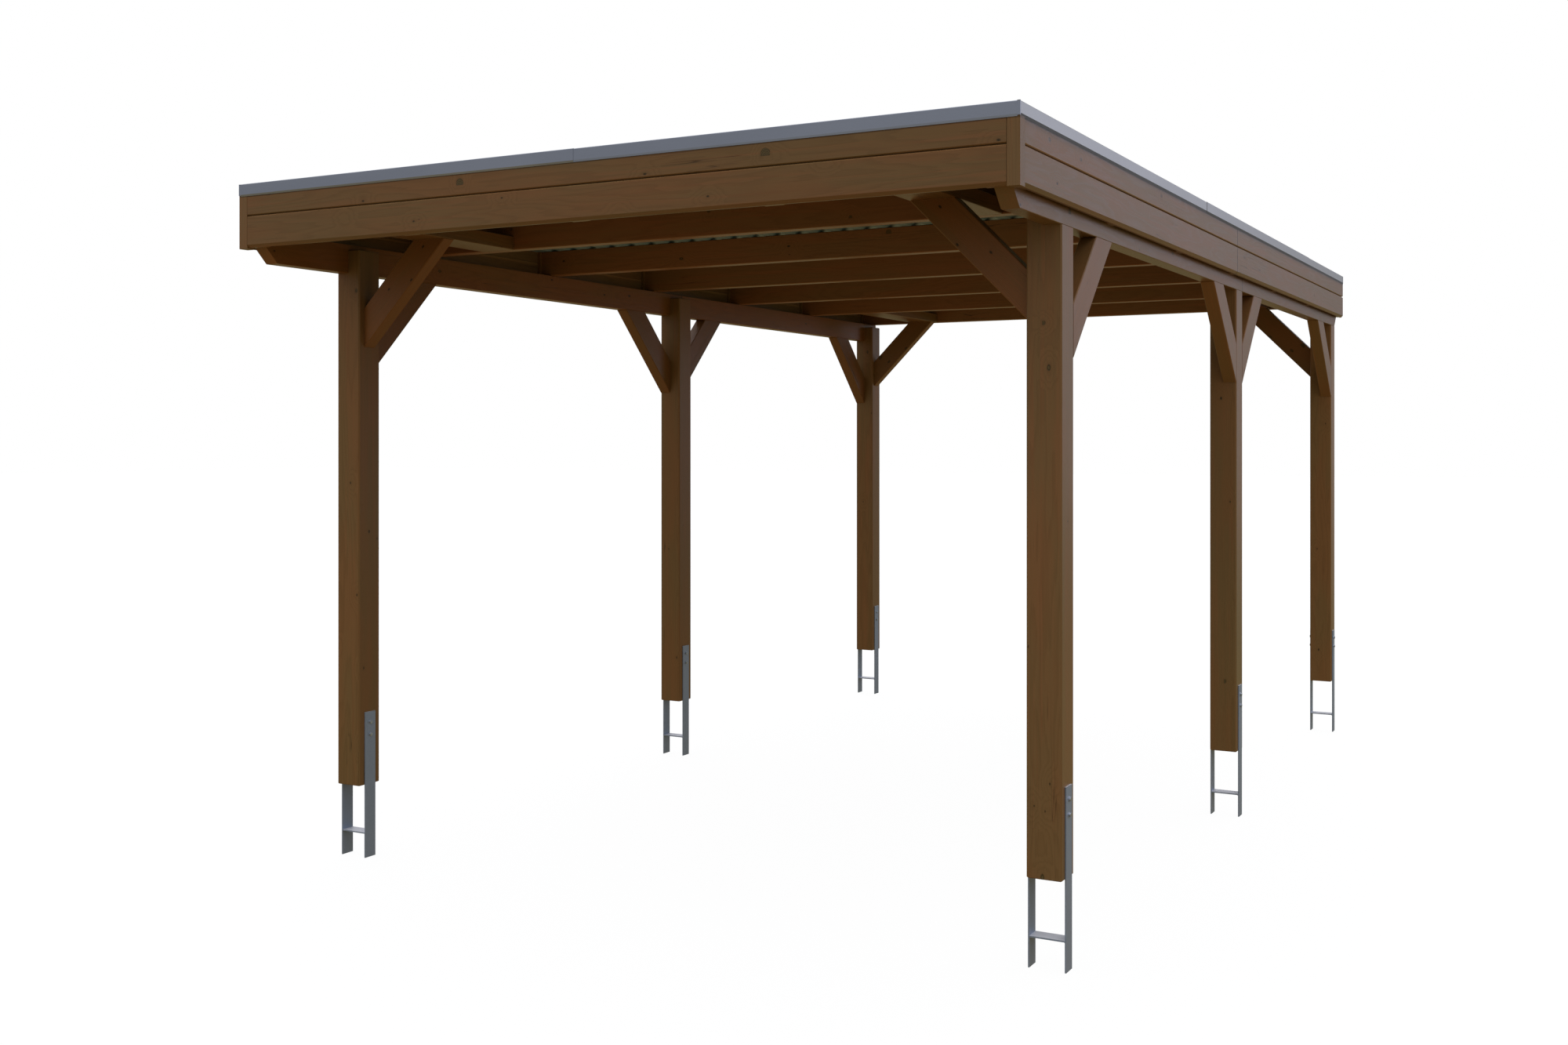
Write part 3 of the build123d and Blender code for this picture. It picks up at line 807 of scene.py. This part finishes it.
# Small fittings in mesh code
class Shape:  # vertices and faces of one piece, in metres
    def __init__(self):
        self.vertices = []
        self.faces = []

    def rings(self, rings):  # a skin through closed rings of points, capped at both ends
        start = len(self.vertices)
        count = len(rings[0])
        for ring in rings:
            self.vertices += [tuple(point) for point in ring]
        for level in range(len(rings) - 1):
            for index in range(count):
                first = start + level * count + index
                second = start + level * count + (index + 1) % count
                self.faces.append((first, second, second + count, first + count))
        self.faces.append(tuple(reversed(range(start, start + count))))
        last = start + (len(rings) - 1) * count
        self.faces.append(tuple(range(last, last + count)))


def addPiece(name, shape, material):
    mesh = bpy.data.meshes.new(name)
    mesh.from_pydata(shape.vertices, [], shape.faces)
    mesh.materials.append(material)
    piece = bpy.data.objects.new(name, mesh)
    bpy.context.scene.collection.objects.link(piece)
    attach(piece, "root")
    return piece


# Folded trim: a top flange, a rounded fold, a face and a lip rolled in at its foot
trim = {
    "sheet": 0.0009,
    "fold": 0.0025,
    "foldSteps": 4,
    "drop": 0.0040,              # how far the lip reaches below the solid trim
    "frontLip": 0.0068,
    "sideLip": 0.0095,
    "lip": ((0.30, 0.70), (0.70, 0.30), (1.0, 0.0)),   # shares of the depth and the height
    "lipSlack": 0.3,             # shares of the sheet that the lip's inner side is moved by
    "lipRise": 0.5,
    "lipTilt": 0.1,              # how far a face looks up or down to belong to the lip
    "topTilt": 0.7,              # how far it looks up to belong to the flange
    "sideDepth": 0.0028,         # from the outer face to the boards behind
    "frontDepth": 0.0019,
    "overlap": 0.0010,           # how far one length stands back under the next
    "lap": 0.03,
    "frontCorner": 0.0098,       # where the faces end before the corner
    "sideCorner": 0.0045,
    "endRound": 0.0016,
    "sideJoints": (-0.554, 1.690),
    "frontJoint": -0.005,
    "tuck": 0.001,               # how far the corner's angle reaches behind the faces
    "cornerEdge": 0.0004,        # its bevel, and its distance below the trim's top
    "plateBelow": (0.0018, 0.0006),   # the plate's lower and upper face below the top
}


def trimProfile(top, foot, flange, back, depth, lip, values):  # (behind the face, height)
    sheet = values["sheet"]
    outer = [(flange, top)]
    inner = [(flange, top - sheet)]
    for step in range(values["foldSteps"] + 1):
        turn = math.radians(90 * step / values["foldSteps"])
        for line, radius in ((outer, values["fold"]), (inner, values["fold"] - sheet)):
            line.append((back + values["fold"] - radius * math.sin(turn),
                         top - values["fold"] + radius * math.cos(turn)))
    bend = foot + lip
    slack = sheet * values["lipSlack"]
    outer.append((back, bend))
    inner.append((back + sheet, bend + slack))
    for share, height in values["lip"]:
        level = foot + height * lip
        outer.append((back + share * (depth - back - slack), level))
        inner.append((min(back + share * depth + sheet, depth),
                      level + sheet * values["lipRise"]))
    return outer + inner[::-1]


def dressTrim(piece, bend, lipMaterial, values):  # the lip gets its copy of the paint with painted shade or painted light, and faces that look up get the front's paint
    piece.data.materials.append(lipMaterial)
    piece.data.materials.append(frontMetal)
    for polygon in piece.data.polygons:
        if polygon.center.z < bend and abs(polygon.normal.z) > values["lipTilt"]:
            polygon.material_index = 1
        elif polygon.normal.z > values["topTilt"]:
            polygon.material_index = 2


def sideTrim(side, values):
    low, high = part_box("side_trim_" + side)
    sign = 1 if side == "right" else -1
    face = high.x if sign > 0 else low.x
    foot = low.z - values["drop"]
    corner, rounded = values["sideCorner"], values["endRound"]
    stops = [low.y, *values["sideJoints"], high.y]
    shape = Shape()
    for number, (start, end) in enumerate(zip(stops, stops[1:])):
        # the middle length laps over the others, which stand back and a little lower
        back = 0.0 if number % 2 else values["overlap"]
        profile = trimProfile(high.z - back, foot + back / 2, high.x - low.x, back,
                              values["sideDepth"], values["sideLip"], values)
        if back and end < high.y:
            end += values["lap"]
        if back and number:
            start -= values["lap"]
        if number == 0:              # mitred and rounded at the front corner
            rings = [[(deep + rounded / 2, start + max(corner, deep), z) for deep, z in profile],
                     [(deep, start + max(corner, deep) + rounded, z) for deep, z in profile]]
        else:
            rings = [[(deep, start, z) for deep, z in profile]]
        rings.append([(deep, end, z) for deep, z in profile])
        placed = [[(face - sign * deep, y, z) for deep, y, z in ring] for ring in rings]
        shape.rings([ring if sign > 0 else ring[::-1] for ring in placed])
    piece = addPiece("sideTrim" + side.capitalize(), shape, sideTrimSheenCopy)
    dressTrim(piece, foot + values["sideLip"], sideLipPaintedShade, values)
    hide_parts("side_trim_" + side)


def frontTrim(values):
    low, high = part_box("front_trim")
    sideLow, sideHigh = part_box("side_trim_right")
    foot = low.z - values["drop"]
    corner, rounded = values["frontCorner"], values["endRound"]
    shape = Shape()
    for sign, back in ((-1, 0.0), (1, values["overlap"])):
        profile = trimProfile(high.z - back, foot + back / 2, sideHigh.x - sideLow.x, back,
                              values["frontDepth"], values["frontLip"], values)
        start = values["frontJoint"] - (values["lap"] if back else 0.0)
        rings = [[(start, deep, z) for deep, z in profile],
                 [(sign * (high.x - max(corner, deep) - rounded), deep, z)
                  for deep, z in profile],
                 [(sign * (high.x - max(corner, deep)), deep + rounded / 2, z)
                  for deep, z in profile]]
        placed = [[(x, low.y + deep, z) for x, deep, z in ring] for ring in rings]
        shape.rings([ring[::-1] if sign > 0 else ring for ring in placed])
    piece = addPiece("frontTrim", shape, frontMetal)
    dressTrim(piece, foot + values["frontLip"], frontLipPaintedLight, values)
    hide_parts("front_trim")


def trimCorners(values):  # an angle behind the ends of two trims, and the plate on top of it
    low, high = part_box("front_trim")
    shape = Shape()
    back, sheet, edge = values["overlap"], values["sheet"], values["cornerEdge"]
    front, side = values["frontCorner"] + values["tuck"], values["sideCorner"] + values["tuck"]
    bend = [(front, back), (back + edge, back), (back, back + edge), (back, side),
            (back + sheet, side), (back + sheet, back + sheet), (front, back + sheet)]
    plate = [(front, back), (back, back), (back, side), (front, side)]
    plateHeights = [high.z - below for below in values["plateBelow"]]
    for sign in (-1, 1):
        for line, heights in ((bend, (low.z, high.z - edge)), (plate, plateHeights)):
            ring = [(sign * (high.x - deep), low.y + forward) for deep, forward in line]
            ring = ring if sign < 0 else ring[::-1]
            shape.rings([[(x, y, z) for x, y in ring] for z in heights])
    addPiece("trimCorners", shape, frontMetal)


for side in ("left", "right"):
    sideTrim(side, trim)
frontTrim(trim)
trimCorners(trim)
print("trim folded")


# Hexagon heads with washers on both sides of each anchor
bolts = {
    "washerRadius": 0.0085,
    "washerThickness": 0.0012,
    "washerWall": 0.8,           # share of the thickness below its rounded edge
    "washerTop": 0.96,           # share of the radius inside that edge
    "headRadius": 0.0075,        # to the corners
    "headHeight": 0.0055,
    "crown": 0.93,               # radius of that circle, as a share of the distance to a side
    "chamfer": 0.55,             # fall of the head's edge per distance past its flat circle
    "steps": 24,
    "seed": 5,
}


def hexHead(shape, centre, way, turn, values):  # on the face at centre, pointing along way in x
    steps = values["steps"]
    washer = values["washerRadius"]
    flat = values["headRadius"] * math.cos(math.radians(30))
    crown = flat * values["crown"]

    def ring(radiusAt, heightAt):
        points = []
        for step in range(steps):
            angle = 2 * math.pi * step / steps
            radius = radiusAt(angle)
            points.append((centre.x + way * heightAt(radius),
                           centre.y + radius * math.cos(angle + turn) * way,
                           centre.z + radius * math.sin(angle + turn)))
        return points

    def hexagon(angle):
        return flat / math.cos(angle % math.radians(60) - math.radians(30))

    base = values["washerThickness"]
    top = base + values["headHeight"]
    shape.rings([
        ring(lambda angle: washer, lambda radius: 0.0),
        ring(lambda angle: washer, lambda radius: base * values["washerWall"]),
        ring(lambda angle: washer * values["washerTop"], lambda radius: base),
        ring(hexagon, lambda radius: base),
        ring(hexagon, lambda radius: top - values["chamfer"] * (radius - crown)),
        ring(lambda angle: crown, lambda radius: top),
    ])


def addBolts(values):
    shape = Shape()
    draw = random.Random(values["seed"])
    low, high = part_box("anchor_bolts")
    heights = (low.z + values["washerRadius"], high.z - values["washerRadius"])
    for y, boxLow, boxHigh in anchors:
        for z in heights:
            turn = math.radians(draw.uniform(0, 60))
            for x, way in ((boxHigh.x, 1), (boxLow.x, -1)):
                hexHead(shape, Vector((x, y, z)), way, turn, values)
    piece = addPiece("anchorBolts", shape, brightZinc)
    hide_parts("anchor_bolts")


addBolts(bolts)
print("bolts set")


# Weld beads under the anchors' cross pieces
welds = {
    "crossTop": 0.104,           # height of the cross pieces' upper faces
    "thickness": 0.005,          # of the bars and the cross pieces
    "inset": 0.002,              # from the bars' edges
    "radius": 0.0032,
    "ripple": 0.0006,
    "uneven": 0.0003,            # most that chance adds to the radius
    "tail": 0.5,                 # share of the radius at both ends
    "root": 0.0002,              # how far the bead reaches into the steel
    "ripples": 14,
    "steps": 6,
    "seed": 11,
}


def weldRing(x, y, way, size, values):  # a quarter circle below the corner
    corner = values["crossTop"] - values["thickness"]
    ring = []
    for step in range(values["steps"]):
        turn = math.radians(90 * step / (values["steps"] - 1))
        ring.append((x + way * size * math.cos(turn), y, corner - size * math.sin(turn)))
    ring.append((x - way * values["root"], y, corner + values["root"]))
    return ring[::-1] if way > 0 else ring


def addWelds(values):
    shape = Shape()
    draw = random.Random(values["seed"])
    thickness, inset, uneven = values["thickness"], values["inset"], values["uneven"]
    count = values["ripples"] * 2
    for _, low, high in anchors:
        for x, way in ((low.x + thickness, 1), (high.x - thickness, -1)):
            rings = []
            for number in range(count + 1):
                y = low.y + inset + (high.y - low.y - 2 * inset) * number / count
                size = values["radius"] + values["ripple"] * (number % 2)
                size += draw.uniform(-uneven, uneven)
                if number in (0, count):
                    size *= values["tail"]
                rings.append(weldRing(x, y, way, size, values))
            shape.rings(rings)
    addPiece("anchorWelds", shape, zinc)


addWelds(welds)
print("welds laid")


# Screws with sealing washers that hold the roof sheets to the rafters
roofScrews = {
    "pitch": 0.113,
    "valleys": 14,               # on each side of the middle, at most
    "margin": 0.03,              # kept free along the roof's sides
    "washerRadius": 0.0075,
    "washerThickness": 0.0015,
    "washerWall": 0.6,           # share of the thickness below its rounded edge
    "headRadius": 0.0046,
    "headHeight": 0.0045,
    "headWall": 0.85,
    "top": 0.8,                  # share of the radius inside the rounded edges
    "step": 0.0002,              # between the washer and the head
    "valleyTop": 0.0010,         # above the rafter
    "sides": 12,
}


def turnedStack(shape, centre, levels, sides):  # rings of given radius and height, going up
    rings = []
    for radius, height in levels:
        rings.append([(centre[0] + radius * math.cos(2 * math.pi * step / sides),
                       centre[1] + radius * math.sin(2 * math.pi * step / sides),
                       centre[2] + height) for step in range(sides)])
    shape.rings(rings)


def addRoofScrews(values):
    shape = Shape()
    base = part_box("rafter_4")[1].z + values["valleyTop"]
    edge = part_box("roof_sheet_right")[1].x - values["margin"]
    washer, head = values["washerRadius"], values["headRadius"]
    thickness, height = values["washerThickness"], values["headHeight"]
    levels = [
        (washer, 0.0),
        (washer, thickness * values["washerWall"]),
        (washer * values["top"], thickness),
        (head, thickness + values["step"]),
        (head, thickness + height * values["headWall"]),
        (head * values["top"], thickness + height),
    ]
    for y in rafterY:
        stride = 1 if y in (rafterY[0], rafterY[-1]) else 2      # every valley at both ends
        for number in range(-values["valleys"], values["valleys"], stride):
            x = (number + 0.5) * values["pitch"]
            if abs(x) < edge:
                turnedStack(shape, (x, y, base), levels, values["sides"])
    addPiece("roofScrews", shape, brightZinc)


addRoofScrews(roofScrews)
print("roof screwed down")
